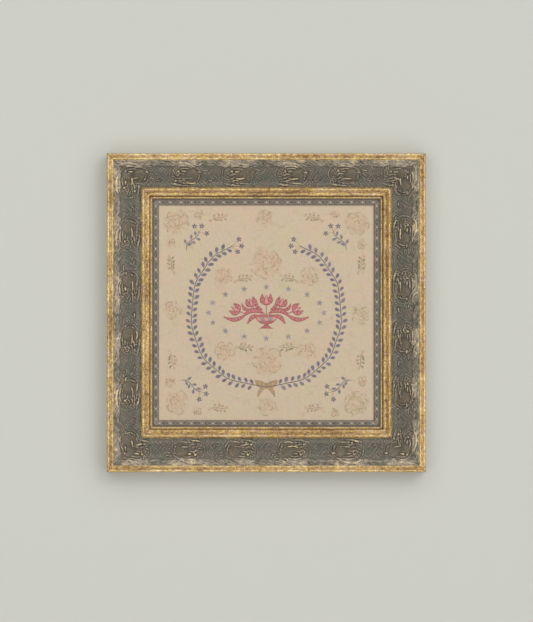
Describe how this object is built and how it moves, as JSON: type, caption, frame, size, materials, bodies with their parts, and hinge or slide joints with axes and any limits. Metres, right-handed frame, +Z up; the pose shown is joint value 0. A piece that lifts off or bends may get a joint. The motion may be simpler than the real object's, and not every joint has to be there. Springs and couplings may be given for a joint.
{
  "type": "framed needlework",
  "caption": "Square embroidered linen picture in a carved gilt and grey-washed moulding frame with a beaded liner, to hang on a wall.",
  "frame": {"origin": "middle of the flat wall side of the sawtooth hanger's raised middle, at the back of the top rail", "axes": "+Y out of the back, into the wall, so the picture faces -Y; +Z up; +X to the viewer's right"},
  "size_m": [0.3574, 0.0314, 0.3575],
  "materials": {
    "gilt": "carved wood, water gilt over red-brown clay, rubbed and worn",
    "ornament": "pressed composition with a grey-green and taupe wash, its high points rubbed back to pale gold",
    "liner": "wood with a grey wash and a thin gilt bead",
    "linen": "plain-weave unbleached linen, embroidered in satin and stem stitch",
    "board": "plain brown hardboard",
    "steel": "zinc-plated sheet steel"
  },
  "bodies": {
    "root": {"rail_top": "gilt", "rail_left": "gilt", "rail_bottom": "gilt", "rail_right": "gilt", "ornament_top": "ornament", "ornament_left": "ornament", "ornament_bottom": "ornament", "ornament_right": "ornament", "liner_top": "liner", "liner_left": "liner", "liner_bottom": "liner", "liner_right": "liner", "needlework": "linen", "backing_board": "board", "point_top_1": "steel", "point_top_2": "steel", "point_left_1": "steel", "point_left_2": "steel", "point_bottom_1": "steel", "point_bottom_2": "steel", "point_right_1": "steel", "point_right_2": "steel", "hanger": "steel", "hanger_nail_left": "steel", "hanger_nail_right": "steel"}
  },
  "joints": []
}
